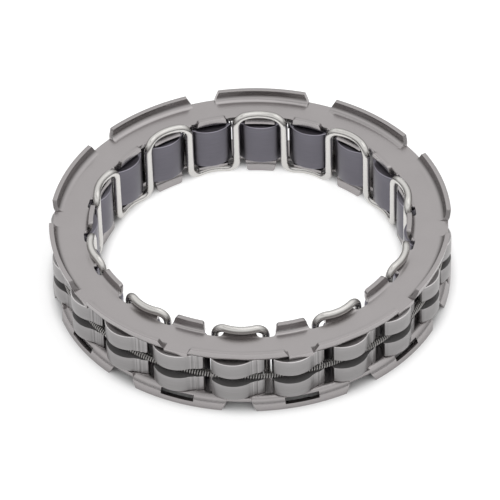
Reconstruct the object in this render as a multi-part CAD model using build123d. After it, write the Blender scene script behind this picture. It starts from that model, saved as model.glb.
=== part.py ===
"""Caged sprag clutch for a starter gear: two pressed side plates, one bent retaining wire that ties
them together, twenty sprags and the garter spring that leans them against the races.

The ring's axis is Z and its middle plane is Z = 0.  A slot is the place of one sprag.  Slot 0 is on +Y,
and on the upper plate the even slots carry a lug and a wire run, on the lower plate the odd slots do.
Inside a slot, a point is given as (across, out): across is clockwise seen from +Z, out is the distance
from the ring's axis.
"""
from build123d import *
import os
from math import cos, hypot, radians, sin, tan

# Races that the clutch works between, in millimetres
shaft_diameter = 54.765
bore_diameter = 71.425

# Cage
sprag_count = 20
sheet = 0.8
sprag_end_play = 0.1
flange_bore_clearance = 0.51

# Lugs on the outer edge of each plate, one for every second slot
lug_rise = 1.75
lug_bore_grip = 0.04
lug_bend_radius = 1.15
lug_lean = 80.0
lug_root_angle = 29.0
lug_end_slant = 27.0

# Window in each lug of the lower plate
window_width = 6.1
window_height = 1.05
window_bend_offset = 0.15

# Lips on the inner edge of each plate, one for every slot
free_lip_rise = 1.55
free_lip_bend_radius = 0.7
free_lip_lean = 80.0
free_lip_bend_from_floor = -0.0625
seat_lip_bend_from_floor = 0.2375
seat_lip_bend_radius = 1.5
seat_lip_lean = 13.0
seat_lip_cover = 0.25
notch_width = 3.3
notch_corner_radius = 0.8
notch_leg_clearance = 0.8
lip_taper = 0.35
lip_corner_radius = 0.5

# Retaining wire
wire_diameter = 1.4
wire_shaft_clearance = 0.08
wire_corner_radius = 2.0
wire_run_toe = 20.4
wire_seat_gap = 0.03

# Sprags
sprag_length = 8.2
waist_from_middle = 0.0525
free_excess = 0.19
foot_shaft_reach = 0.08
outer_cam_radius = 4.8
outer_cam_offset = 1.05
inner_cam_radius = 5.2
head_width_ahead = 4.7
shelf_start = 1.85
shelf_step = 0.16
shelf_width = 2.65
shelf_slope = 27.0
shelf_ridge = 0.1
head_side_height = 0.6
foot_width = 7.6
waist_width = 6.2

# Garter spring in the groove round the sprag heads
coil_diameter = 1.4
groove_side_clearance = 0.22
coil_bore_clearance = 1.2125
groove_floor_clearance = 0.25
groove_floor_slope = 15.0
groove_floor_crown = 1.25

slot_angle = 360.0 / sprag_count
shaft_radius = shaft_diameter / 2
bore_radius = bore_diameter / 2
plate_inner = sprag_length / 2 + sprag_end_play
plate_outer = plate_inner + sheet
flange_radius = bore_radius - flange_bore_clearance
lug_tip_radius = bore_radius + lug_bore_grip
lug_tip_height = plate_outer + lug_rise
lug_wall = lug_bend_radius + sheet
lug_wall_rise = lug_tip_height - plate_outer - lug_bend_radius + lug_wall * cos(radians(lug_lean))
lug_bend_start = (
    lug_tip_radius - lug_wall * sin(radians(lug_lean)) - lug_wall_rise / tan(radians(lug_lean))
)
wire_radius = wire_diameter / 2
leg_ring_radius = shaft_radius + wire_shaft_clearance + wire_radius
notch_floor_radius = leg_ring_radius + wire_radius + notch_leg_clearance
free_lip_bend_start = notch_floor_radius + free_lip_bend_from_floor
seat_lip_bend_start = notch_floor_radius + seat_lip_bend_from_floor
lip_root_radius = max(free_lip_bend_start, seat_lip_bend_start)
flange_middle_radius = (lip_root_radius + lug_bend_start) / 2
race_space = bore_radius - shaft_radius
pivot_radius = shaft_radius + race_space / 2 + waist_from_middle
free_height = race_space + free_excess
coil_radius_in_ring = bore_radius - coil_bore_clearance - coil_diameter / 2


def outline(*pieces):
    """A face from lines and arcs that follow each other."""
    return make_face(Wire(list(pieces)))


def spin(shape, slot):
    """The shape turned from slot 0 to another slot, anticlockwise seen from +Z."""
    return Rot(0, 0, slot * slot_angle) * shape


def ring(inner, outer, bottom, top):
    """A flat ring round the Z axis."""
    disc = Circle(outer) - Circle(inner)
    return Pos(0, 0, bottom) * extrude(disc, top - bottom)


def sector(section, angle):
    """A section in the plane of radius and height, carried round the axis and centred on slot 0."""
    return Rot(0, 0, 90 - angle / 2) * revolve(Plane.XZ * section, Axis.Z, angle)


def bent_sheet(start, bend, side, radius, lean, tip_height=None, tip_radius=None):
    """Section of the plate from a flat start through one bend to a leaning tip.

    side is 1 for a bend outwards and -1 for one inwards.  The tip is cut level at tip_height, or square
    to the sheet at tip_radius.
    """
    angle = radians(lean)
    centre_height = plate_outer + radius

    def on_bend(bend_radius, part):
        return (bend + side * bend_radius * sin(part), centre_height - bend_radius * cos(part))

    hollow = on_bend(radius, angle)
    crown = on_bend(radius + sheet, angle)
    if tip_height is not None:
        hollow_tip = (hollow[0] + side * (tip_height - hollow[1]) / tan(angle), tip_height)
        crown_tip = (crown[0] + side * (tip_height - crown[1]) / tan(angle), tip_height)
    else:
        hollow_tip = (tip_radius, hollow[1] + abs(tip_radius - hollow[0]) * tan(angle))
        crown_tip = (hollow_tip[0] + side * sheet * sin(angle), hollow_tip[1] - sheet * cos(angle))
    return outline(
        Line((start, plate_inner), (bend, plate_inner)),
        ThreePointArc((bend, plate_inner), on_bend(radius + sheet, angle / 2), crown),
        Line(crown, crown_tip),
        Line(crown_tip, hollow_tip),
        Line(hollow_tip, hollow),
        ThreePointArc(hollow, on_bend(radius, angle / 2), (bend, plate_outer)),
        Line((bend, plate_outer), (start, plate_outer)),
        Line((start, plate_outer), (start, plate_inner)),
    )


# The wire run in slot 0 is one flat arc whose ends turn down into the legs.  It bows outwards, and the
# lip under it is highest where the run comes nearest to the axis over the lip.
half_slot = radians(slot_angle / 2)
toe = radians(wire_run_toe)
leg_across = leg_ring_radius * sin(half_slot)
leg_out = leg_ring_radius * cos(half_slot)
run_start = (leg_across - wire_corner_radius * cos(toe), leg_out + wire_corner_radius * sin(toe))
run_arc_radius = run_start[0] / sin(toe)
run_mid_out = run_start[1] + run_arc_radius * (1 - cos(toe))
lip_half_width = leg_ring_radius * sin(half_slot) - notch_width / 2
run_dip = run_arc_radius - (run_arc_radius ** 2 - lip_half_width ** 2) ** 0.5
run_nearest = hypot(lip_half_width, run_mid_out - run_dip)
seat_lean = radians(seat_lip_lean)
seat_foot_radius = seat_lip_bend_start - seat_lip_bend_radius * sin(seat_lean)
seat_foot_height = plate_outer + seat_lip_bend_radius * (1 - cos(seat_lean))
seat_height = seat_foot_height + (seat_foot_radius - run_nearest) * tan(seat_lean)
wire_run_height = seat_height + (wire_radius + wire_seat_gap) / cos(seat_lean)


def notch_cutter():
    """The gap between two lips, round at the corners of its floor and wider towards the lip tips."""
    half = notch_width / 2
    inside = shaft_radius - sheet
    floor = notch_floor_radius
    corner = notch_corner_radius
    bow = corner * (1 - cos(radians(45)))
    plan = outline(
        Line((-half, inside), (half, inside)),
        Line((half, inside), (half, floor - corner)),
        ThreePointArc((half, floor - corner), (half - bow, floor - bow), (half - corner, floor)),
        Line((half - corner, floor), (corner - half, floor)),
        ThreePointArc((corner - half, floor), (bow - half, floor - bow), (-half, floor - corner)),
        Line((-half, floor - corner), (-half, inside)),
    )
    tip = plate_outer + free_lip_rise
    wide = half + lip_taper / 2
    rounded = lip_corner_radius
    turn = rounded * (1 - cos(radians(45)))
    flare = outline(
        Line((-half, plate_outer), (half, plate_outer)),
        Line((half, plate_outer), (wide, tip - rounded)),
        ThreePointArc((wide, tip - rounded), (wide + turn, tip - turn), (wide + rounded, tip)),
        Line((wide + rounded, tip), (wide + rounded, tip + sheet)),
        Line((wide + rounded, tip + sheet), (-wide - rounded, tip + sheet)),
        Line((-wide - rounded, tip + sheet), (-wide - rounded, tip)),
        ThreePointArc((-wide - rounded, tip), (-wide - turn, tip - turn), (-wide, tip - rounded)),
        Line((-wide, tip - rounded), (-half, plate_outer)),
    )
    through = Pos(0, 0, plate_inner - sheet) * extrude(plan, lug_rise + 3 * sheet)
    facing = Plane(origin=(0, floor, 0), x_dir=(-1, 0, 0), z_dir=(0, 1, 0))
    return through + extrude(facing * flare, -(floor - inside))


def lip(section):
    """One lip with half a notch on each side of it."""
    cutter = notch_cutter()
    return sector(section, slot_angle) - spin(cutter, 0.5) - spin(cutter, -0.5)


def lug():
    """One lug on slot 0, with both ends cut on a slant."""
    section = bent_sheet(flange_middle_radius, lug_bend_start, 1, lug_bend_radius, lug_lean, lug_tip_height)
    blank = sector(section, lug_root_angle + slot_angle / 6)
    for hand in (1, -1):
        end = radians(90 + hand * lug_root_angle / 2)
        slant = radians(lug_end_slant)
        away = (-hand * sin(end) * cos(slant), hand * cos(end) * cos(slant), sin(slant))
        plane = Plane(origin=(0, 0, plate_outer), x_dir=(cos(end), sin(end), 0), z_dir=away)
        blank -= plane * Box(
            2 * bore_diameter, bore_diameter, lug_tip_radius, align=(Align.CENTER, Align.CENTER, Align.MIN)
        )
    return blank


def flange_gap():
    """The flat edge of the flange between two lugs."""
    angle = 2 * slot_angle - lug_root_angle
    flat = outline(
        Line((flange_middle_radius, plate_inner), (flange_radius, plate_inner)),
        Line((flange_radius, plate_inner), (flange_radius, plate_outer)),
        Line((flange_radius, plate_outer), (flange_middle_radius, plate_outer)),
        Line((flange_middle_radius, plate_outer), (flange_middle_radius, plate_inner)),
    )
    return sector(flat, angle)


def side_plate():
    """The upper side plate: flange, ten lugs, ten free lips and ten lips that carry the wire."""
    free_section = bent_sheet(
        flange_middle_radius, free_lip_bend_start, -1, free_lip_bend_radius, free_lip_lean,
        tip_height=plate_outer + free_lip_rise,
    )
    seat_section = bent_sheet(
        flange_middle_radius, seat_lip_bend_start, -1, seat_lip_bend_radius, seat_lip_lean,
        tip_radius=run_nearest - seat_lip_cover,
    )
    seat_lip = lip(seat_section)
    free_lip = lip(free_section)
    one_lug = lug()
    gap = flange_gap()
    pieces = []
    for slot in range(0, sprag_count, 2):
        pieces += [spin(seat_lip, slot), spin(free_lip, slot + 1), spin(one_lug, slot), spin(gap, slot + 1)]
    return ring(lip_root_radius, lug_bend_start, plate_inner, plate_outer).fuse(*pieces).clean()


def lower_plate(upper):
    """The same pressing turned over and moved on by one slot, with a window in every lug."""
    plate = spin(mirror(upper, Plane.XY), 1)
    top = plate_inner + sheet * 0.5 + window_bend_offset
    window = Pos(0, lug_tip_radius, -top) * Box(
        window_width, 2 * lug_wall, window_height, align=(Align.CENTER, Align.CENTER, Align.MAX)
    )
    return plate.cut(*[spin(window, slot) for slot in range(1, sprag_count, 2)])


def wire_half_turn():
    """The wire from the middle of one leg over a run to the middle of the next leg, in slot 0."""
    low = wire_run_height - wire_corner_radius
    centre = (run_start[0], run_start[1], low)
    corners = []
    for hand in (1, -1):
        leg = (hand * leg_across, leg_out)
        middle = wire_corner_radius * cos(radians(45))
        bend_mid = (
            hand * (centre[0] + middle * cos(toe)), centre[1] - middle * sin(toe), low + middle
        )
        corners.append((leg, bend_mid, (hand * centre[0], centre[1], wire_run_height)))
    (leg_a, mid_a, top_a), (leg_b, mid_b, top_b) = corners
    path = Wire([
        Line((*leg_a, 0), (*leg_a, low)),
        ThreePointArc((*leg_a, low), mid_a, top_a),
        ThreePointArc(top_a, (0, run_mid_out, wire_run_height), top_b),
        ThreePointArc(top_b, mid_b, (*leg_b, low)),
        Line((*leg_b, low), (*leg_b, 0)),
    ])
    section = Plane(origin=(*leg_a, 0), z_dir=(0, 0, 1)) * Circle(wire_radius)
    return sweep(section, path)


def retaining_wire():
    """One endless square wave: every second half turn is upside down."""
    upper = wire_half_turn()
    lower = mirror(upper, Plane.XY)
    halves = [spin(upper if slot % 2 == 0 else lower, slot) for slot in range(sprag_count)]
    return halves[0].fuse(*halves[1:]).clean()


def sprag():
    """One sprag in slot 0: a foot on the shaft, a waist, and a wide head with a groove for the spring."""
    foot_out = shaft_radius - foot_shaft_reach
    crest_out = foot_out + free_height
    outer_centre = (outer_cam_offset, crest_out - outer_cam_radius)
    inner_centre_out = foot_out + inner_cam_radius

    def on_outer(across):
        rise = (outer_cam_radius ** 2 - (across - outer_centre[0]) ** 2) ** 0.5
        return (across, outer_centre[1] + rise)

    def on_inner(across):
        return (across, inner_centre_out - (inner_cam_radius ** 2 - across ** 2) ** 0.5)

    head_right = on_outer(head_width_ahead)
    head_side_right = (head_width_ahead, head_right[1] - head_side_height)
    step_top = on_outer(-shelf_start)
    step_foot = (-shelf_start - shelf_step, step_top[1] - shelf_step)
    slope = tan(radians(shelf_slope))
    ridge_across = -shelf_start - shelf_width * 0.5
    ridge_foot = (ridge_across, step_foot[1] - (step_foot[0] - ridge_across) * slope)
    ridge_top = (ridge_across - shelf_ridge, ridge_foot[1] + shelf_ridge)
    shelf_end_across = -shelf_start - shelf_width
    shelf_end = (shelf_end_across, ridge_top[1] - (ridge_top[0] - shelf_end_across) * slope)
    shelf_side = (shelf_end_across, shelf_end[1] - head_side_height)
    foot_right = on_inner(foot_width / 2)
    foot_left = on_inner(-foot_width / 2)
    waist_right = (waist_width / 2, pivot_radius)
    waist_left = (-waist_width / 2, pivot_radius)
    profile = outline(
        ThreePointArc(head_right, on_outer(outer_cam_offset), step_top),
        Line(step_top, step_foot),
        Line(step_foot, ridge_foot),
        Line(ridge_foot, ridge_top),
        Line(ridge_top, shelf_end),
        Line(shelf_end, shelf_side),
        ThreePointArc(shelf_side, waist_left, foot_left),
        ThreePointArc(foot_left, on_inner(0), foot_right),
        ThreePointArc(foot_right, waist_right, head_side_right),
        Line(head_side_right, head_right),
    )
    groove_height = coil_diameter + 2 * groove_side_clearance
    floor_out = coil_radius_in_ring - coil_diameter / 2 - groove_floor_clearance
    fall = radians(groove_floor_slope)
    crown_end = (groove_floor_crown * sin(fall), floor_out - groove_floor_crown * (1 - cos(fall)))
    far = head_width_ahead + sheet
    far_out = crown_end[1] - (far - crown_end[0]) * tan(fall)
    groove = outline(
        Line((-far, crest_out + sheet), (far, crest_out + sheet)),
        Line((far, crest_out + sheet), (far, far_out)),
        Line((far, far_out), crown_end),
        ThreePointArc(crown_end, (0, floor_out), (-crown_end[0], crown_end[1])),
        Line((-crown_end[0], crown_end[1]), (-far, far_out)),
        Line((-far, far_out), (-far, crest_out + sheet)),
    )
    body = extrude(profile, sprag_length / 2, both=True)
    return body - extrude(groove, groove_height / 2, both=True)


def garter_spring():
    """The envelope of the coiled spring that runs round the heads of all the sprags."""
    section = Pos(coil_radius_in_ring, 0) * Circle(coil_diameter / 2)
    return revolve(Plane.XZ * section, Axis.Z, 360)


def build():
    """Every piece by its name."""
    upper = side_plate()
    pieces = {
        "upper_side_plate": upper,
        "lower_side_plate": lower_plate(upper),
        "retaining_wire": retaining_wire(),
        "garter_spring": garter_spring(),
    }
    one = sprag()
    for slot in range(sprag_count):
        pieces[f"sprag_{slot + 1:02d}"] = spin(one, slot)
    return pieces


os.makedirs("parts", exist_ok=True)
for name, piece in build().items():
    export_step(piece, f"parts/{name}.step")
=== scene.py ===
"""Sprag clutch on a white table: satin pressed plates, ground sprags, a bright retaining wire and the
garter spring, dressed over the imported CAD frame.

Lengths are in metres, written as millimetres times MM.  The ring's axis is Z.  Slot s of the ring is
turned 90 + 18 s degrees from +X, and inside a slot a point is (across, out): across is clockwise seen
from above, out is the distance from the axis.
"""

import bmesh
import bpy
import numpy as np
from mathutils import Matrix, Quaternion, Vector


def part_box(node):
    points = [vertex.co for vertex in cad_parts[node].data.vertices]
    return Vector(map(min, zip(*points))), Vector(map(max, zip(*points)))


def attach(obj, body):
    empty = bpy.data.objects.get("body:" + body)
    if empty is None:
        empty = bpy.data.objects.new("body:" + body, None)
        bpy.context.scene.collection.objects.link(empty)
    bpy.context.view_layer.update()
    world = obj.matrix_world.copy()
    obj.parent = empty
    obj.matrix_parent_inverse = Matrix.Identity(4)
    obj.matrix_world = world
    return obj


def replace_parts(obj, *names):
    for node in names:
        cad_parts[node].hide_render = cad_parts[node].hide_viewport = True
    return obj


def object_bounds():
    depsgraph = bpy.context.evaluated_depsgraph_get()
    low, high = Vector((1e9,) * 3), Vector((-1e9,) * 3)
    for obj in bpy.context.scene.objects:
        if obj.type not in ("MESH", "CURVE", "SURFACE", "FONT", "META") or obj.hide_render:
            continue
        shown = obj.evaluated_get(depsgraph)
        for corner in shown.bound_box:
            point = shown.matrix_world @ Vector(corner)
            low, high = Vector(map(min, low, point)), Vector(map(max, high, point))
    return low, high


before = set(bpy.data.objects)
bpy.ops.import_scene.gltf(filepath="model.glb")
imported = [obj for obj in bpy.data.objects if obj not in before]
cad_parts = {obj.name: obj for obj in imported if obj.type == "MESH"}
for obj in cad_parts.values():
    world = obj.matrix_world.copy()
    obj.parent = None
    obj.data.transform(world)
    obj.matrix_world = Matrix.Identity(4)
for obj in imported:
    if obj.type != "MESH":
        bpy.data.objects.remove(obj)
cad_low, cad_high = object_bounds()

MM = 0.001
SLOTS = 20
SLOT_TURN = 2 * np.pi / SLOTS


# Shapes common to several pieces


def in_slot(points, slot):
    """Points (across, out, height) of one slot, placed in the ring by turning them round the axis."""
    turn = np.pi / 2 + np.asarray(slot, float) * SLOT_TURN
    across, out, height = points[..., 0], points[..., 1], points[..., 2]
    x = out * np.cos(turn) + across * np.sin(turn)
    y = out * np.sin(turn) - across * np.cos(turn)
    return np.stack([x, y, np.broadcast_to(height, x.shape)], axis=-1)


def unit(vectors):
    """Each vector divided by its length."""
    return vectors / np.linalg.norm(vectors, axis=-1, keepdims=True)


def mesh_object(name, points, faces, smooth_below=30.0):
    """A mesh from an array of points and a list of faces, shaded smooth except across sharp edges."""
    mesh = bpy.data.meshes.new(name)
    mesh.from_pydata(points.reshape(-1, 3), [], faces)
    mesh.polygons.foreach_set("use_smooth", np.ones(len(mesh.polygons), bool))
    mesh.set_sharp_from_angle(angle=np.radians(smooth_below))
    mesh.update()
    made = bpy.data.objects.new(name, mesh)
    bpy.context.scene.collection.objects.link(made)
    return made


def grid_faces(rows, columns, close_rows=False, close_columns=True):
    """Four-cornered faces of a grid of points, joined end to end in either direction where asked."""
    row = np.arange(rows if close_rows else rows - 1)[:, None]
    column = np.arange(columns if close_columns else columns - 1)[None, :]
    next_row = (row + 1) % rows
    next_column = (column + 1) % columns
    corners = [row * columns + column, row * columns + next_column,
               next_row * columns + next_column, next_row * columns + column]
    return np.stack(np.broadcast_arrays(*corners), axis=-1).reshape(-1, 4)


def closed_tube(name, path, guide, radius, sides):
    """A round wire along a closed path.

    Each path point carries a circle across the path.  The path's direction there is the mean of the two
    steps that meet, and the circle starts from the part of the guide direction that is square to it.
    """
    step = unit(np.roll(path, -1, axis=0) - path)
    along = unit(step + np.roll(step, 1, axis=0))
    second = unit(np.cross(along, guide))
    first = np.cross(second, along)
    turn = np.linspace(0, 2 * np.pi, sides, endpoint=False)[None, :, None]
    points = path[:, None] + radius * (np.cos(turn) * first[:, None] + np.sin(turn) * second[:, None])
    faces = grid_faces(len(path), sides, close_rows=True)
    return mesh_object(name, points, faces.tolist(), smooth_below=80)


# Retaining wire

shaft_radius = 54.765 / 2 * MM
wire_shaft_clearance = 0.08 * MM
wire_radius = 0.7 * MM
wire_sides = 28
leg_ring_radius = shaft_radius + wire_shaft_clearance + wire_radius
wire_corner = 2.0 * MM
wire_run_toe = np.radians(20.4)
leg_points, corner_points, run_points = 8, 12, 12


def wire_half_turn(run_height):
    """Centre line of the wire over one slot: a leg, a quarter-circle corner, the bowed run, and back.

    The run is a flat arc that meets the corners at the toe angle.  The corner is a quarter circle in
    the upright plane of the run's end, and the leg goes straight down to the ring's middle plane.
    """
    leg_across = leg_ring_radius * np.sin(SLOT_TURN / 2)
    leg_out = leg_ring_radius * np.cos(SLOT_TURN / 2)
    start_across = leg_across - wire_corner * np.cos(wire_run_toe)
    start_out = leg_out + wire_corner * np.sin(wire_run_toe)
    run_radius = start_across / np.sin(wire_run_toe)
    low = run_height - wire_corner

    height = np.linspace(0, low, leg_points, endpoint=False)
    leg = np.stack([np.full(leg_points, leg_across), np.full(leg_points, leg_out), height], axis=-1)
    turn = np.linspace(0, np.pi / 2, corner_points, endpoint=False)
    reach = wire_corner * np.cos(turn)
    corner = np.stack([
        start_across + reach * np.cos(wire_run_toe),
        start_out - reach * np.sin(wire_run_toe),
        low + wire_corner * np.sin(turn),
    ], axis=-1)
    bow = np.linspace(wire_run_toe, 0, run_points)
    run = np.stack([
        run_radius * np.sin(bow),
        start_out + run_radius * (np.cos(bow) - np.cos(wire_run_toe)),
        np.full(run_points, run_height),
    ], axis=-1)
    half = np.concatenate([leg, corner, run])
    return np.concatenate([half, half[-2:0:-1] * (-1, 1, 1)])


def retaining_wire():
    """The endless square wave: twenty half turns round the ring, every second one upside down."""
    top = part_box("retaining_wire")[1].z
    half = wire_half_turn(top - wire_radius)
    slot = np.arange(SLOTS)[:, None]
    side = np.where(slot % 2 == 0, 1, -1)
    waves = np.broadcast_to(half, (SLOTS, *half.shape)).copy()
    waves[..., 2] *= side
    path = in_slot(waves, slot).reshape(-1, 3)
    outward = unit(path * (1, 1, 0))
    return closed_tube("retaining_wire_bent", path, outward, wire_radius, wire_sides)


# Garter spring

spring_wire = 0.27 * MM
spring_pitch = 0.46 * MM
points_per_turn = 14
spring_wire_sides = 6


def garter_spring():
    """A helix of spring wire wound round a circle: each turn goes once round the spring's own centre line."""
    low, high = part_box("garter_spring")
    coil_radius = (high.z - low.z) / 2
    ring_radius = (high.x - low.x) / 2 - coil_radius
    turns = round(2 * np.pi * ring_radius / spring_pitch)
    round_ring = np.linspace(0, 2 * np.pi, turns * points_per_turn, endpoint=False)
    round_coil = round_ring * turns
    out = np.stack([np.cos(round_ring), np.sin(round_ring), np.zeros_like(round_ring)], axis=-1)
    away = np.cos(round_coil)[:, None] * out + np.sin(round_coil)[:, None] * (0, 0, 1)
    path = ring_radius * out + (coil_radius - spring_wire / 2) * away
    return closed_tube("garter_spring_coil", path, away, spring_wire / 2, spring_wire_sides)


# Sprags

sprag_length = 8.2 * MM
pivot_radius = 31.6 * MM
foot_shaft_reach = 0.08 * MM
free_height = 8.52 * MM
foot_out = shaft_radius - foot_shaft_reach
crest_out = foot_out + free_height
outer_cam_radius = 4.8 * MM
outer_cam_offset = 1.05 * MM
inner_cam_radius = 5.2 * MM
head_ahead = 4.7 * MM
head_side_height = 0.6 * MM
shelf_start = 1.85 * MM
shelf_step = 0.16 * MM
shelf_width = 2.65 * MM
shelf_slope = np.tan(np.radians(27))
shelf_ridge = 0.1 * MM
half_foot = 3.8 * MM
half_waist = 3.1 * MM
groove_half_height = 0.92 * MM
groove_crown = 1.25 * MM
groove_fall = np.radians(15)
end_rounding = 0.18 * MM
ledge_rounding = 0.08 * MM
corner_rounding = 0.16 * MM
eased_corner = np.radians(20)
cam_points, side_points, rounding_points = 30, 40, 4


def arc(centre, radius, start, end, count):
    """Points on a circle between two angles, given in degrees from the across direction."""
    turn = np.radians(np.linspace(start, end, count))
    return np.stack([centre[0] + radius * np.cos(turn), centre[1] + radius * np.sin(turn)], axis=-1)


def arc_through(first, middle, last, count):
    """Points on the circle through three points, whose centre is as far from each of them."""
    first, middle, last = (np.asarray(point, float) for point in (first, middle, last))
    chords = 2 * np.stack([middle - first, last - first])
    squares = np.array([middle @ middle - first @ first, last @ last - first @ first])
    centre = np.linalg.solve(chords, squares)
    angles = [np.degrees(np.arctan2(*(point - centre)[::-1])) for point in (first, last)]
    sweep = (angles[1] - angles[0] + 180) % 360 - 180
    return arc(centre, np.linalg.norm(first - centre), angles[0], angles[0] + sweep, count)


def groove_floor(across):
    """Height of the spring groove's floor: an arc round the pivot, then slopes of 15 degrees."""
    arc_end = groove_crown * np.sin(groove_fall)
    near = np.sqrt(np.maximum(groove_crown ** 2 - across ** 2, 0))
    far = groove_crown * np.cos(groove_fall) - (np.abs(across) - arc_end) * np.tan(groove_fall)
    return pivot_radius + np.where(np.abs(across) < arc_end, near, far)


def eased(outline, reach):
    """A closed outline with round corners, and which old point each new one comes from.

    At a sharp corner the outline follows the parabola that leaves one side and meets the other at the
    same reach, or at a third of the shorter side.
    """
    before = np.roll(outline, 1, axis=0) - outline
    after = np.roll(outline, -1, axis=0) - outline
    sides = np.minimum(np.linalg.norm(before, axis=1), np.linalg.norm(after, axis=1))
    take = np.minimum(reach, sides / 3)[:, None]
    sharp = np.sum(unit(before) * unit(after), axis=1) > -np.cos(eased_corner)
    part = np.linspace(0, 1, rounding_points)[None, :, None]
    leave = (outline + unit(before) * take)[:, None]
    meet = (outline + unit(after) * take)[:, None]
    curve = (1 - part) ** 2 * leave + 2 * part * (1 - part) * outline[:, None] + part ** 2 * meet
    curve[~sharp] = outline[~sharp][:, None]
    keep = np.ones(curve.shape[:2], bool)
    keep[~sharp, 1:] = False
    source = np.broadcast_to(np.arange(len(outline))[:, None], keep.shape)
    return curve[keep], source[keep]


def sprag_outlines():
    """The sprag seen along the ring's axis, as points (across, out), whole and cut down to the groove.

    The outer cam is an arc about a centre ahead of the middle and ends in a step and a sloping shelf.
    The inner cam is an arc about the middle line.  Each side of the waist is the arc through the foot's
    corner, the waist and the head's corner.  Where the waist passes the groove's floor, the whole
    outline and the cut one part, and their points keep pace with each other over the head.
    """
    cam = (outer_cam_offset, crest_out - outer_cam_radius)
    cam_start = np.degrees(np.arccos((head_ahead - cam[0]) / outer_cam_radius))
    cam_end = np.degrees(np.arccos((-shelf_start - cam[0]) / outer_cam_radius))
    outer = arc(cam, outer_cam_radius, cam_start, cam_end, cam_points)
    foot_turn = np.degrees(np.arcsin(half_foot / inner_cam_radius))
    foot_centre = (0, foot_out + inner_cam_radius)
    inner = arc(foot_centre, inner_cam_radius, 270 - foot_turn, 270 + foot_turn, cam_points)
    step = outer[-1] - shelf_step
    ridge_across = -shelf_start - shelf_width / 2
    ridge_foot = np.array([ridge_across, step[1] - (step[0] - ridge_across) * shelf_slope])
    ridge = ridge_foot + (-shelf_ridge, shelf_ridge)
    shelf_across = -shelf_start - shelf_width
    shelf_end = np.array([shelf_across, ridge[1] - (ridge[0] - shelf_across) * shelf_slope])
    shelf_side = shelf_end - (0, head_side_height)
    head_side = outer[0] - (0, head_side_height)
    right = arc_through(inner[-1], (half_waist, pivot_radius), head_side, side_points)
    left = arc_through(shelf_side, (-half_waist, pivot_radius), inner[0], side_points)
    right_cut = np.argmax(right[:, 1] > groove_floor(right[:, 0]))
    left_cut = np.argmax(left[:, 1] < groove_floor(left[:, 0]))
    head = np.concatenate([right[right_cut:], outer, [step, ridge_foot, ridge, shelf_end], left[:left_cut]])
    foot = np.concatenate([left[left_cut:], inner[1:-1], right[:right_cut]])
    whole, source = eased(np.concatenate([head, foot]), corner_rounding)
    in_head = source < len(head)

    steps = np.linalg.norm(np.diff(whole[in_head], axis=0), axis=1)
    share = np.concatenate([[0], np.cumsum(steps)]) / steps.sum()
    ends = whole[in_head][[0, -1], 0]
    across = ends[0] + (ends[1] - ends[0]) * share
    cut = whole.copy()
    cut[in_head] = np.stack([across, groove_floor(across)], axis=-1)
    return whole, cut, in_head


def drawn_in(outline, distance, where):
    """The outline moved inwards, square to itself, at the chosen points."""
    along = unit(unit(np.roll(outline, -1, axis=0) - outline) + unit(outline - np.roll(outline, 1, axis=0)))
    inwards = np.stack([-along[:, 1], along[:, 0]], axis=-1)
    return outline + inwards * distance * where[:, None]


def sprag(slot):
    """One sprag: its outline carried along the axis, with round ends and a round-edged spring groove.

    A rounded edge is a quarter circle: as its angle grows, the outline comes out and the height falls.
    """
    whole, cut, in_head = sprag_outlines()
    everywhere = np.ones(len(whole))
    quarter = np.linspace(0, np.pi / 2, rounding_points)
    rings = []
    for angle in quarter:
        outline = drawn_in(whole, end_rounding * (1 - np.sin(angle)), everywhere)
        rings.append((outline, sprag_length / 2 - end_rounding * (1 - np.cos(angle))))
    for angle in quarter[::-1]:
        outline = drawn_in(whole, ledge_rounding * (1 - np.sin(angle)), in_head)
        rings.append((outline, groove_half_height + ledge_rounding * (1 - np.cos(angle))))
    rings.append((cut, groove_half_height))
    upper = np.stack([
        np.concatenate([outline, np.full((len(outline), 1), height)], axis=1) for outline, height in rings
    ])
    points = np.concatenate([upper * (1, 1, -1), upper[::-1]])
    rows, columns = points.shape[:2]
    faces = grid_faces(rows, columns).tolist()
    faces.append(list(range(columns))[::-1])
    faces.append(list(range((rows - 1) * columns, rows * columns)))
    return mesh_object(f"sprag_{slot + 1:02d}_ground", in_slot(points, slot), faces, smooth_below=40)


# Side plates

plate_middle = 4.6 * MM
half_sheet = 0.4 * MM
plate_face = plate_middle + half_sheet
notch_half = 1.65 * MM
notch_corner = 0.8 * MM
notch_leg_clearance = 0.8 * MM
notch_floor = leg_ring_radius + wire_radius + notch_leg_clearance
lip_corner = 0.5 * MM
lip_half_width = 2.6 * MM
notch_opening = 0.175 * MM
notch_opening_height = 1.05 * MM
free_lip_tip = 6.55 * MM
seat_lip_tip = 28.21 * MM
flange_root = 30.2 * MM
flange_edge = 35.2025 * MM
lug_tip = 6.75 * MM
lug_end = np.radians(14.5)
lug_end_slant = np.radians(27)
window_half = 3.05 * MM
window_bottom, window_top = 4.75 * MM, 5.8 * MM
least_window_turn = np.radians(6.6)
edge_rounding = 0.14 * MM
least_rounded_edge = np.radians(40)
same_point = 0.001 * MM

# The three bends of the plate: where the flat ends, which way it goes on, the radius of the sheet's middle
# line and the lean of the straight part
free_lip = {"start": 29.6 * MM, "side": -1, "radius": 1.1 * MM, "lean": np.radians(80)}
seat_lip = {"start": 29.9 * MM, "side": -1, "radius": 1.9 * MM, "lean": np.radians(13)}
lug = {"start": 33.667 * MM, "side": 1, "radius": 1.55 * MM, "lean": np.radians(80)}

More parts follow.
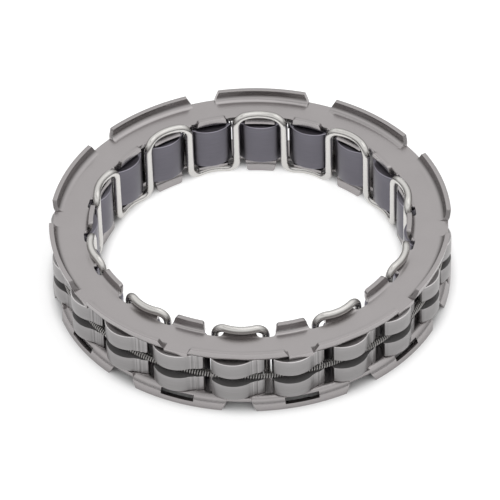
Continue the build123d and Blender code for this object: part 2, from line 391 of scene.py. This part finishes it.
# The plate's grid has 29 columns over one slot, from the middle of a lug to the middle of the next gap.
# Going in, they pass a seat lip, a notch and a free lip.  Going out, they pass the window and the lug.
# Half a notch has four columns round its floor's corner and two along the floor.
LIP_EDGE, CORNER_COLUMNS, FLOOR_COLUMNS = 8, 4, 2
NOTCH_MIDDLE = LIP_EDGE + CORNER_COLUMNS + FLOOR_COLUMNS
LAST, WINDOW_EDGE, LUG_EDGE = 2 * NOTCH_MIDDLE, 8, 22
column = np.arange(LAST + 1)
free = column >= NOTCH_MIDDLE
lip_step = np.minimum(column, LAST - column)
lip_share = np.interp(lip_step, (0, 4, 5, 6, 7, 8), (0, 0.8, 0.87, 0.93, 0.98, 1))
notch_turn = np.radians(90) * np.clip(1 - (lip_step - LIP_EDGE) / CORNER_COLUMNS, 0, 1)
notch_across = (
    notch_corner * np.sin(notch_turn)
    + (notch_half - notch_corner) * np.clip((NOTCH_MIDDLE - lip_step) / FLOOR_COLUMNS, 0, 1)
)

# Its rows lie on the lips, then up to the flange and across it to the lugs' bend, up to the window, over
# the window, to the end of the bend, and on the lug's straight wall.
LIP_ROWS, ROOT_ROWS, FLANGE_ROWS, BELOW_ROWS, WINDOW_ROWS, WALL_ROWS = 8, 8, 4, 3, 5, 2
BEND_ROW = LIP_ROWS + ROOT_ROWS + FLANGE_ROWS
ROWS = BEND_ROW + BELOW_ROWS + WINDOW_ROWS + 1 + WALL_ROWS + 1
GRID = ROWS * (LAST + 1)


def bent_line(bend, distance, offset):
    """Point (out, height) at a distance past the start of a bend, offset from the middle line upwards.

    The line is flat before the bend, follows the bend's circle up to the lean, and goes on straight.  A
    positive offset is on the hollow side, so it makes the circle smaller.
    """
    turned = np.clip(distance / bend["radius"], 0, bend["lean"])
    straight = np.maximum(distance - bend["radius"] * bend["lean"], 0)
    across_bend = (bend["radius"] - offset) * np.sin(turned)
    forward = np.minimum(distance, 0) + across_bend + straight * np.cos(bend["lean"])
    rise = bend["radius"] - (bend["radius"] - offset) * np.cos(turned) + straight * np.sin(bend["lean"])
    return np.stack([bend["start"] + bend["side"] * forward, plate_middle + rise])


def distance_to(bend, out, offset):
    """How far past the start of a bend the line at an offset is this far out."""
    forward = (out - bend["start"]) * bend["side"]
    radius = bend["radius"] - offset
    turned = np.arcsin(np.clip(forward / radius, 0, np.sin(bend["lean"])))
    straight = (forward - radius * np.sin(bend["lean"])) / np.cos(bend["lean"])
    return np.minimum(forward, 0) + bend["radius"] * turned + np.maximum(straight, 0)


def distance_up(bend, height, offset):
    """How far past the start of a bend the straight part of the line at an offset is this high."""
    bend_end = plate_middle + bend["radius"] - (bend["radius"] - offset) * np.cos(bend["lean"])
    return bend["radius"] * bend["lean"] + (height - bend_end) / np.sin(bend["lean"])


def lip_strip(bend, tip, corner, offset):
    """The rows from the tips and notch floors to the flange, if every lip were of one kind.

    A tip's corner is a quarter circle, and so is each corner of a notch's floor.
    """
    inside = np.clip(corner - (1 - lip_share) * lip_half_width, 0, corner)
    tip = tip - corner + np.sqrt(corner ** 2 - inside ** 2)
    floor = distance_to(bend, notch_floor - notch_corner * (1 - np.cos(notch_turn)), offset)
    tip = np.where(lip_step <= LIP_EDGE, tip, floor)
    root = distance_to(bend, flange_root, offset)
    on_lip = np.linspace(0, 1, LIP_ROWS, endpoint=False)[:, None]
    to_root = np.linspace(0, 1, ROOT_ROWS + 1)[:, None]
    distance = np.concatenate([tip + (floor - tip) * on_lip, floor + (root - floor) * to_root])
    return bent_line(bend, distance, offset)


def lug_distances(offset):
    """Distances of the rows on the lug, whose window and tip are cut level.

    The outer skin reaches the window's lower edge only a little way up the bend, the least turn.
    """
    radius = lug["radius"] - offset
    centre = plate_middle + lug["radius"]
    bottom = np.arccos(min((centre - window_bottom) / radius, np.cos(least_window_turn)))
    top = np.arccos((centre - window_top) / radius)
    below_window = np.linspace(0, bottom, BELOW_ROWS + 1)[1:]
    beside_window = np.linspace(bottom, top, WINDOW_ROWS + 1)[1:]
    bent = lug["radius"] * np.concatenate([below_window, beside_window, [lug["lean"]]])
    return np.concatenate([bent, np.linspace(bent[-1], distance_up(lug, lug_tip, offset), WALL_ROWS + 1)[1:]])


def inner_angle(out, height):
    """Angle of each column near the lips.

    A lip's half width runs from its middle to the notch's side, which is parallel to the notch's own
    middle line and leans away with height, and the columns are shares of it.
    """
    opened = np.clip((height - plate_face) / notch_opening_height, 0, 1) * (lip_step <= LIP_EDGE)
    side = notch_across + notch_opening * opened
    from_lip = lip_share * (SLOT_TURN / 2 - np.arcsin(side / out))
    return np.where(free, SLOT_TURN - from_lip, from_lip)


def outer_angle(out, height):
    """Angle of each column near the lugs: to the window's side, the lug's slanted end, the gap's middle."""
    window = np.arcsin(window_half / out)
    end = lug_end - np.maximum(height - plate_face, 0) * np.tan(lug_end_slant) / out
    to_end = np.clip((column - WINDOW_EDGE) / (LUG_EDGE - WINDOW_EDGE), 0, 1)
    to_gap = np.clip((column - LUG_EDGE) / (LAST - LUG_EDGE), 0, 1)
    return (
        window * np.clip(column / WINDOW_EDGE, 0, 1) + (end - window) * to_end
        + (SLOT_TURN - lug_end) * to_gap
    )


def plate_skin(offset):
    """One skin of the plate over one slot, twice: with the lug's wall, and with the flat gap.

    Both are rows by columns of (across, out, height).  Between the lips and the lugs each column's angle
    goes over evenly from the inner to the outer one.
    """
    free_strip = lip_strip(free_lip, distance_up(free_lip, free_lip_tip, offset), lip_corner, offset)
    seat_strip = lip_strip(seat_lip, distance_to(seat_lip, seat_lip_tip, 0), edge_rounding, offset)
    inner_out, inner_height = np.where(free, free_strip, seat_strip)
    part = np.linspace(0, 1, FLANGE_ROWS + 1)[1:, None]
    flange_out = flange_root + (lug["start"] - flange_root) * part + 0 * column
    flange_height = np.full(flange_out.shape, plate_middle + offset)
    flange_angle = (
        (1 - part) * inner_angle(flange_out, flange_height)
        + part * outer_angle(flange_out, flange_height)
    )
    on_lug = lug_distances(offset)
    lug_out, lug_height = bent_line(lug, on_lug, offset)[:, :, None] + 0 * column
    gap_out = lug["start"] + (flange_edge - lug["start"]) * (on_lug / on_lug[-1])[:, None] + 0 * column
    gap_height = np.full(gap_out.shape, plate_middle + offset)
    skin = []
    for out, height in ((lug_out, lug_height), (gap_out, gap_height)):
        angle = np.concatenate([inner_angle(inner_out, inner_height), flange_angle, outer_angle(out, height)])
        out = np.concatenate([inner_out, flange_out, out])
        height = np.concatenate([inner_height, flange_height, height])
        skin.append(np.stack([out * np.sin(angle), out * np.cos(angle), height], axis=-1))
    return np.stack(skin)


def plate_faces(windows):
    """Faces of both skins and of the rims between them, as numbers of the skins' points.

    A cell is metal unless it lies in a notch or a window, and a rim stands where metal ends.  From the
    start of the bend the lug and the gap part, so there each of them closes with its own rim.
    """
    row, cell = np.indices((ROWS - 1, LAST))
    notch = (row < LIP_ROWS) & (cell >= LIP_EDGE) & (cell < LAST - LIP_EDGE)
    above = row - BEND_ROW - BELOW_ROWS
    window = (above >= 0) & (above < WINDOW_ROWS) & (cell < WINDOW_EDGE) & windows
    metal = np.pad(~(notch | window), ((1, 1), (0, 0)))
    metal = np.pad(metal, ((0, 0), (1, 1)), mode="edge")
    faces = []
    for part, (first, last, parting) in enumerate(((0, LUG_EDGE, -1), (LUG_EDGE, LAST, 0))):
        here = metal[:, first:last + 2].copy()
        here[BEND_ROW + 1:, parting] = False
        start = part * GRID + first
        row, cell = np.nonzero(here[1:-1, 1:-1])
        corner = start + row * (LAST + 1) + cell
        skin = np.stack([corner, corner + 1, corner + LAST + 2, corner + LAST + 1], axis=-1)
        faces += [skin, skin + 2 * GRID]
        row, cell = np.nonzero(here[:-1, 1:-1] != here[1:, 1:-1])
        corner = start + row * (LAST + 1) + cell
        faces.append(np.stack([corner, corner + 1, corner + 1 + 2 * GRID, corner + 2 * GRID], axis=-1))
        row, cell = np.nonzero(here[1:-1, :-1] != here[1:-1, 1:])
        corner = start + row * (LAST + 1) + cell
        below = corner + LAST + 1
        faces.append(np.stack([corner, below, below + 2 * GRID, corner + 2 * GRID], axis=-1))
    return np.concatenate(faces)


def side_plate(name, side, first_slot, windows):
    """A pressed plate: its two skins and rims over half a lug and its gap, and their mirror image, ten times.

    The skins lie half a sheet above and below the middle line.
    """
    half = np.stack([plate_skin(half_sheet), plate_skin(-half_sheet)]).reshape(-1, 3)
    half_faces = plate_faces(windows)
    points, faces = [], []
    for slot in range(first_slot, SLOTS, 2):
        for hand in (1, -1):
            faces.append(half_faces + len(points) * len(half))
            points.append(in_slot(half * (hand, 1, side), slot))
    mesh = bpy.data.meshes.new(name)
    mesh.from_pydata(np.concatenate(points), [], np.concatenate(faces).tolist())
    shape = bmesh.new()
    shape.from_mesh(mesh)
    bmesh.ops.remove_doubles(shape, verts=shape.verts, dist=same_point)
    loose = [vertex for vertex in shape.verts if not vertex.link_faces]
    bmesh.ops.delete(shape, geom=loose, context="VERTS")
    bmesh.ops.recalc_face_normals(shape, faces=shape.faces)
    shape.to_mesh(mesh)
    shape.free()
    mesh.polygons.foreach_set("use_smooth", np.ones(len(mesh.polygons), bool))
    made = bpy.data.objects.new(name, mesh)
    bpy.context.scene.collection.objects.link(made)
    bevel = made.modifiers.new("rounded_edges", "BEVEL")
    bevel.width = edge_rounding
    bevel.segments = 3
    bevel.limit_method = "ANGLE"
    bevel.angle_limit = least_rounded_edge
    made.modifiers.new("even_shading", "WEIGHTED_NORMAL")
    return made


# Materials


def linear(code):
    """An sRGB hex colour as the linear RGBA that the shader takes."""
    value = np.array([int(code[at:at + 2], 16) for at in (1, 3, 5)]) / 255
    low = value / 12.92
    high = ((value + 0.055) / 1.055) ** 2.4
    return (*np.where(value <= 0.04045, low, high), 1.0)


def add(material, kind, settings=(), links=()):
    """Adds a node and sets its properties, its inputs' values and its links."""
    tree = material.node_tree
    node = tree.nodes.new(kind)
    for name, value in dict(settings).items():
        if isinstance(name, int) or name in node.inputs:
            node.inputs[name].default_value = value
        else:
            setattr(node, name, value)
    for name, socket in dict(links).items():
        tree.links.new(socket, node.inputs[name])
    return node


def bare_material(name):
    """A material with only its output node."""
    material = bpy.data.materials.new(name)
    material.use_nodes = True
    material.node_tree.nodes.clear()
    return material, add(material, "ShaderNodeOutputMaterial")


def lumps(material, size):
    """Noise in the piece's own coordinates, whose lumps are this many millimetres along x, y and z."""
    place = add(material, "ShaderNodeTexCoord")
    scaled = add(material, "ShaderNodeVectorMath", {
        "operation": "DIVIDE", 1: [length * MM for length in size],
    }, {0: place.outputs["Object"]})
    return add(material, "ShaderNodeTexNoise", {"Scale": 1.0}, {"Vector": scaled.outputs[0]}).outputs[0]


def metal(name, colour, roughness):
    """A plain metal surface, and its shader."""
    material, output = bare_material(name)
    shader = add(material, "ShaderNodeBsdfPrincipled", {
        "Base Color": linear(colour), "Metallic": 1.0, "Roughness": roughness,
    })
    material.node_tree.links.new(shader.outputs["BSDF"], output.inputs["Surface"])
    return material, shader


def finish_marks(material, shader, size, depth):
    """Shallow marks that the finish leaves in the surface, with their size and depth in millimetres."""
    marks = add(material, "ShaderNodeBump", {"Distance": depth * MM}, {"Height": lumps(material, size)})
    material.node_tree.links.new(marks.outputs["Normal"], shader.inputs["Normal"])


def scaled(material, tone, factor):
    """A tone, given as a hex colour or a socket, times a factor."""
    settings, links = {"operation": "SCALE"}, {"Scale": factor}
    if isinstance(tone, str):
        settings[0] = linear(tone)[:3]
    else:
        links[0] = tone
    return add(material, "ShaderNodeVectorMath", settings, links).outputs[0]


def wander(material, size, share):
    """A factor that wanders round 1 by a share either way, over noise of this size in millimetres."""
    return add(material, "ShaderNodeMapRange", {"To Min": 1 - share, "To Max": 1 + share}, {
        "Value": lumps(material, size),
    }).outputs["Result"]


def by_radius(material, start, end, before, after):
    """A factor that goes smoothly from before to after between two distances from the ring's axis."""
    place = add(material, "ShaderNodeTexCoord")
    flat = add(material, "ShaderNodeVectorMath", {"operation": "MULTIPLY", 1: (1, 1, 0)}, {
        0: place.outputs["Object"],
    })
    radius = add(material, "ShaderNodeVectorMath", {"operation": "LENGTH"}, {0: flat.outputs[0]})
    return add(material, "ShaderNodeMapRange", {
        "interpolation_type": "SMOOTHSTEP", "From Min": start * MM, "From Max": end * MM,
        "To Min": before, "To Max": after,
    }, {"Value": radius.outputs["Value"]}).outputs["Result"]


# Colours of a sprag's head and foot, the foot's being darker as painted shade for the dark inside of the ring
# that it reflects; the share of them that the groove keeps, which is painted shade; and the gain of the
# painted highlight on the rounded ends
head_colour, foot_colour_painted_shade = "#8f8d8d", "#65636a"
groove_painted_shade = 0.4
painted_highlight_gain = 7.5

# Distances from the ring's axis, in millimetres, over which a sprag's finish changes
foot_to_head = (29, 32)
waist_to_groove = (31.6, 32)
shelf_to_crest = (34.5, 34.9)

# Sizes of a sprag's marks across, outwards and along the axis, in millimetres.  Real grinding lines are
# finer, and are drawn this coarse so that they show.
grinding_lines = (2.5, 2.5, 0.12)
shelf_streaks = (0.3, 0.3, 40)


def in_groove(material, value):
    """A factor of this value in a sprag's spring groove and of 1 on the rest of the sprag.

    The groove is what lies outside the waist and near the ring's middle plane.
    """
    place = add(material, "ShaderNodeTexCoord")
    height = add(material, "ShaderNodeSeparateXYZ", links={0: place.outputs["Object"]}).outputs["Z"]
    from_middle = add(material, "ShaderNodeMath", {"operation": "ABSOLUTE"}, {0: height})
    across_ledge = add(material, "ShaderNodeMapRange", {
        "interpolation_type": "SMOOTHSTEP", "From Min": groove_half_height,
        "From Max": groove_half_height + ledge_rounding, "To Min": value, "To Max": 1.0,
    }, {"Value": from_middle.outputs[0]})
    return add(material, "ShaderNodeMix", {2: 1.0}, {
        0: by_radius(material, *waist_to_groove, 0, 1), 3: across_ledge.outputs["Result"],
    }).outputs[0]


def ground_tone(material):
    """Tone of a sprag: dark feet and groove, brighter heads with fine grinding lines, bright rounded ends.

    The feet's dark tone is painted shade for the dark inside of the ring that they reflect, and the groove's
    is painted shade of the deep groove.  The shelf and the head's far side, which lie lower than its crest,
    are streaked along the sprag.  The rounded ends get a painted highlight, found from n, how far the
    surface faces up or down, as n n (1 - n n).
    """
    in_head = by_radius(material, *foot_to_head, 0, 1)
    # Painted shade: the feet's darker colour stands in for the dark inside of the ring that they reflect
    whole = add(material, "ShaderNodeMix", {
        "data_type": "RGBA", 6: linear(foot_colour_painted_shade), 7: linear(head_colour),
    }, {0: in_head}).outputs[2]
    tone = scaled(material, whole, wander(material, grinding_lines, 0.1))
    streaked = add(material, "ShaderNodeMath", {"operation": "MULTIPLY"}, {
        0: by_radius(material, *shelf_to_crest, 1, 0), 1: in_head,
    })
    streaks = add(material, "ShaderNodeMix", {2: 1.0}, {
        0: streaked.outputs[0], 3: wander(material, shelf_streaks, 0.8),
    })
    tone = scaled(material, tone, streaks.outputs[0])
    # Painted shade in the spring groove: the tone there is cut to a share of the rest
    tone = scaled(material, tone, in_groove(material, groove_painted_shade))
    # Painted highlight: surfaces that face partly up or down, the rounded ends, are made brighter
    place = add(material, "ShaderNodeTexCoord")
    facing = add(material, "ShaderNodeSeparateXYZ", links={0: place.outputs["Normal"]})
    square = add(material, "ShaderNodeMath", {"operation": "MULTIPLY"}, {
        0: facing.outputs["Z"], 1: facing.outputs["Z"],
    }).outputs[0]
    rest = add(material, "ShaderNodeMath", {"operation": "SUBTRACT", 0: 1.0}, {1: square}).outputs[0]
    highlight_share = add(material, "ShaderNodeMath", {"operation": "MULTIPLY"}, {0: square, 1: rest}).outputs[0]
    painted_end_highlight = add(material, "ShaderNodeMath", {
        "operation": "MULTIPLY_ADD", 1: painted_highlight_gain, 2: 1.0,
    }, {0: highlight_share})
    return scaled(material, tone, painted_end_highlight.outputs[0])


# Cold-rolled steel strip, pressed and then barrel-finished: an even, slightly warm satin.  Its tumbling
# marks are drawn 0.3 mm wide, coarser than real ones, so that they show.
strip_colour = "#a39f9f"
pressed_strip, pressed_shader = metal("cold_rolled_steel_barrel_finished", strip_colour, 0.27)
finish_marks(pressed_strip, pressed_shader, (0.3, 0.3, 0.3), 0.006)
pressed_tone = scaled(pressed_strip, strip_colour, wander(pressed_strip, (5, 5, 5), 0.04))
pressed_strip.node_tree.links.new(pressed_tone, pressed_shader.inputs["Base Color"])

# Bearing steel, hardened: the heads are ground along the ring.  The feet's darker, bluish face is painted
# shade for the dark inside of the ring that they reflect, and the groove is painted dark and dull as
# painted shade of the deep groove
ground_steel, ground_shader = metal("bearing_steel_hardened_ground", head_colour, 0.33)
finish_marks(ground_steel, ground_shader, grinding_lines, 0.003)
ground_steel.node_tree.links.new(ground_tone(ground_steel), ground_shader.inputs["Base Color"])
# Painted shade: the groove is made non-metallic and dull, so that it stays dark
ground_steel.node_tree.links.new(in_groove(ground_steel, 0.0), ground_shader.inputs["Metallic"])

# Drawn spring wire: bright and smooth
drawn_wire = metal("spring_steel_wire_drawn", "#cccac7", 0.26)[0]

# Thin spring wire, cold wound
wound_wire = metal("spring_steel_wire_wound", "#9c9a98", 0.32)[0]


def finish_piece(piece, material, body):
    """Gives a new piece its only material and its body."""
    piece.data.materials.clear()
    piece.data.materials.append(material)
    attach(piece, body)
    return piece


wire = finish_piece(retaining_wire(), drawn_wire, "cage")
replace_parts(wire, "retaining_wire")
spring = finish_piece(garter_spring(), wound_wire, "cage")
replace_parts(spring, "garter_spring")

for slot_number in range(SLOTS):
    name = f"sprag_{slot_number + 1:02d}"
    block = finish_piece(sprag(slot_number), ground_steel, name)
    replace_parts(block, name)

upper = side_plate("upper_side_plate_pressed", 1, 0, False)
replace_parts(finish_piece(upper, pressed_strip, "cage"), "upper_side_plate")
lower = side_plate("lower_side_plate_pressed", -1, 1, True)
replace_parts(finish_piece(lower, pressed_strip, "cage"), "lower_side_plate")


# Table and light

table_half = 3.0
shade_outside = (34.5 * MM, 37.5 * MM)
shade_inside = (25.5 * MM, 28.5 * MM)
hole_glow_centre = (0.2 * MM, 2.5 * MM, 0)
glow_outside, glow_inside = 0.47, 0.6


def table():
    """A white card under the ring.

    The card's own glow, which the camera and mirror-like surfaces see, brings it up to plain white.  It
    fades out over the ring's footprint, so that the shade under the plates stays; the ring of card left
    without glow is painted shade as well as real shade, and the metal reflects it.  In the ring's hole the
    glow lies a little towards the back, where the card shows most, and the front of the hole is left as
    painted shade, seen through the gaps between the near sprags and in the metal's reflections.
    """
    material, output = bare_material("table_white_card")
    rays = add(material, "ShaderNodeLightPath")
    mirrored = add(material, "ShaderNodeMath", {"operation": "MAXIMUM"}, {
        0: rays.outputs["Is Glossy Ray"], 1: rays.outputs["Is Transmission Ray"],
    })
    seen = add(material, "ShaderNodeMath", {"operation": "MAXIMUM"}, {
        0: mirrored.outputs[0], 1: rays.outputs["Is Camera Ray"],
    })
    place = add(material, "ShaderNodeTexCoord")
    radius = add(material, "ShaderNodeVectorMath", {"operation": "LENGTH"}, {
        0: place.outputs["Object"],
    })
    # Painted shade: no glow over the ring's footprint and the front of its hole
    outside = add(material, "ShaderNodeMapRange", {
        "interpolation_type": "SMOOTHSTEP", "From Min": shade_outside[0], "From Max": shade_outside[1],
        "To Min": 0.0, "To Max": glow_outside,
    }, {"Value": radius.outputs["Value"]})
    moved = add(material, "ShaderNodeVectorMath", {"operation": "SUBTRACT", 1: hole_glow_centre}, {
        0: place.outputs["Object"],
    })
    inner_radius = add(material, "ShaderNodeVectorMath", {"operation": "LENGTH"}, {0: moved.outputs[0]})
    inside = add(material, "ShaderNodeMapRange", {
        "interpolation_type": "SMOOTHSTEP", "From Min": shade_inside[0], "From Max": shade_inside[1],
        "To Min": glow_inside, "To Max": 0.0,
    }, {"Value": inner_radius.outputs["Value"]})
    both = add(material, "ShaderNodeMath", {"operation": "ADD"}, {
        0: outside.outputs["Result"], 1: inside.outputs["Result"],
    })
    strength = add(material, "ShaderNodeMath", {"operation": "MULTIPLY"}, {
        0: both.outputs[0], 1: seen.outputs[0],
    })
    card = add(material, "ShaderNodeBsdfDiffuse", {"Color": linear("#e4e4e4")})
    glow = add(material, "ShaderNodeEmission", links={"Strength": strength.outputs[0]})
    add_both = add(material, "ShaderNodeAddShader", links={0: card.outputs[0], 1: glow.outputs[0]})
    material.node_tree.links.new(add_both.outputs[0], output.inputs["Surface"])

    mesh = bpy.data.meshes.new("table")
    corners = table_half * np.array([(-1, -1, 0), (1, -1, 0), (1, 1, 0), (-1, 1, 0)])
    mesh.from_pydata(corners, [], [(0, 1, 2, 3)])
    mesh.materials.append(material)
    made = bpy.data.objects.new("table", mesh)
    made.location.z = cad_low.z
    bpy.context.scene.collection.objects.link(made)


horizon_level, sky_level = 0.42, 1.15
overhead_share = 0.6


def studio_sky():
    """A soft white sky, brightest halfway up and dimmer towards the horizon and straight above.

    Its brightness is a product of two smooth ramps over the height z of the direction.
    """
    world = bpy.data.worlds.new("studio")
    bpy.context.scene.world = world
    world.use_nodes = True
    background = world.node_tree.nodes["Background"]
    direction = add(world, "ShaderNodeTexCoord")
    parts = add(world, "ShaderNodeSeparateXYZ", links={0: direction.outputs["Generated"]})
    level = add(world, "ShaderNodeMapRange", {
        "interpolation_type": "SMOOTHSTEP", "From Min": 0.1, "From Max": 0.75,
        "To Min": horizon_level, "To Max": sky_level,
    }, {"Value": parts.outputs["Z"]})
    overhead = add(world, "ShaderNodeMapRange", {
        "interpolation_type": "SMOOTHSTEP", "From Min": 0.7, "From Max": 0.95,
        "To Min": 1.0, "To Max": overhead_share,
    }, {"Value": parts.outputs["Z"]})
    strength = add(world, "ShaderNodeMath", {"operation": "MULTIPLY"}, {
        0: level.outputs["Result"], 1: overhead.outputs["Result"],
    })
    world.node_tree.links.new(strength.outputs[0], background.inputs["Strength"])
    background.inputs["Color"].default_value = (1, 1, 1, 1)


def softbox(name, place, width, power):
    """A square area lamp at a place, facing the ring's centre."""
    lamp = bpy.data.lights.new(name, "AREA")
    lamp.shape = "SQUARE"
    lamp.size = width
    lamp.energy = power
    made = bpy.data.objects.new(name, lamp)
    made.location = place
    made.rotation_mode = "QUATERNION"
    made.rotation_quaternion = (-Vector(place)).to_track_quat("-Z", "Y")
    bpy.context.scene.collection.objects.link(made)
    return made


table()
studio_sky()
softbox("softbox_above", (0.10, 0.05, 0.60), 0.5, 0.6)


# Camera

camera_distance = 695.4 * MM
camera_azimuth = np.radians(4.69)
camera_elevation = np.radians(41.85)
camera_roll = np.radians(-1.743)
camera_data = bpy.data.cameras.new("camera")
camera_data.sensor_width = 36
camera_data.lens = 279.9
camera_data.shift_x = -0.0018
camera_data.shift_y = -0.0108
camera_data.clip_start = 0.01
camera = bpy.data.objects.new("camera", camera_data)
back = Vector((
    np.sin(camera_azimuth) * np.cos(camera_elevation),
    -np.cos(camera_azimuth) * np.cos(camera_elevation),
    np.sin(camera_elevation),
))
camera.location = back * camera_distance
camera.rotation_mode = "QUATERNION"
camera.rotation_quaternion = (-back).to_track_quat("-Z", "Y") @ Quaternion((0, 0, 1), camera_roll)
bpy.context.scene.collection.objects.link(camera)
bpy.context.scene.camera = camera
bpy.context.scene.view_settings.view_transform = "Standard"
